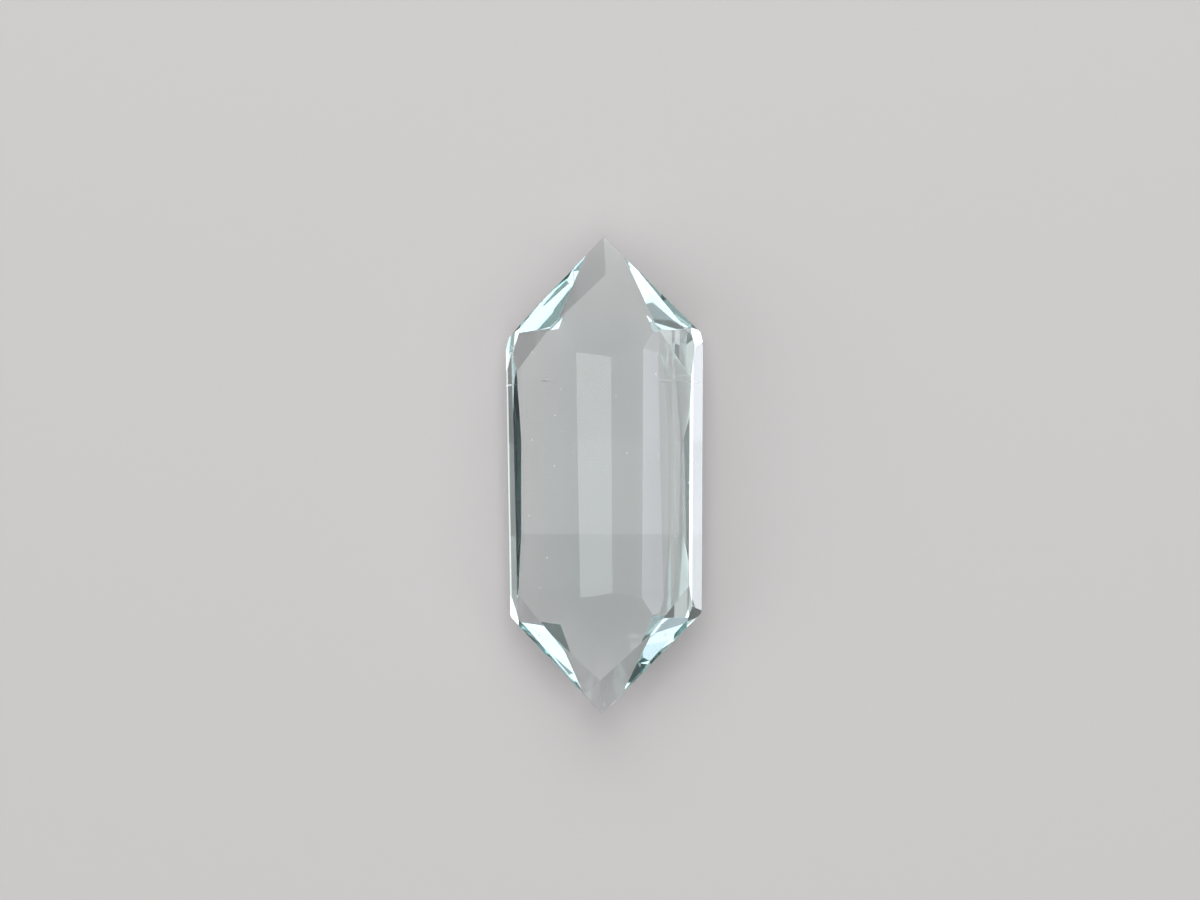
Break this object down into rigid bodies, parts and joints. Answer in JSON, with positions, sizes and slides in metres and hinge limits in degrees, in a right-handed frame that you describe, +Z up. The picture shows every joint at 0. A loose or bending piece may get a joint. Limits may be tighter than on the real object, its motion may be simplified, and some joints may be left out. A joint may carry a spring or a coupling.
{
  "type": "faceted green beryl gemstone",
  "caption": "Loose pale blue-green beryl cut as an elongated hexagon, with a low crown and a stepped pavilion, lying on one pavilion facet.",
  "frame": {"origin": "on the resting surface, under the middle of the stone", "axes": "+Y along the stone's length, +Z up through the table, +X to the right as seen from above"},
  "size_m": [0.006, 0.0144, 0.0023],
  "materials": {
    "beryl": "clear, very pale blue-green, high polish"
  },
  "bodies": {
    "root": {"green_beryl": "beryl"}
  },
  "joints": []
}
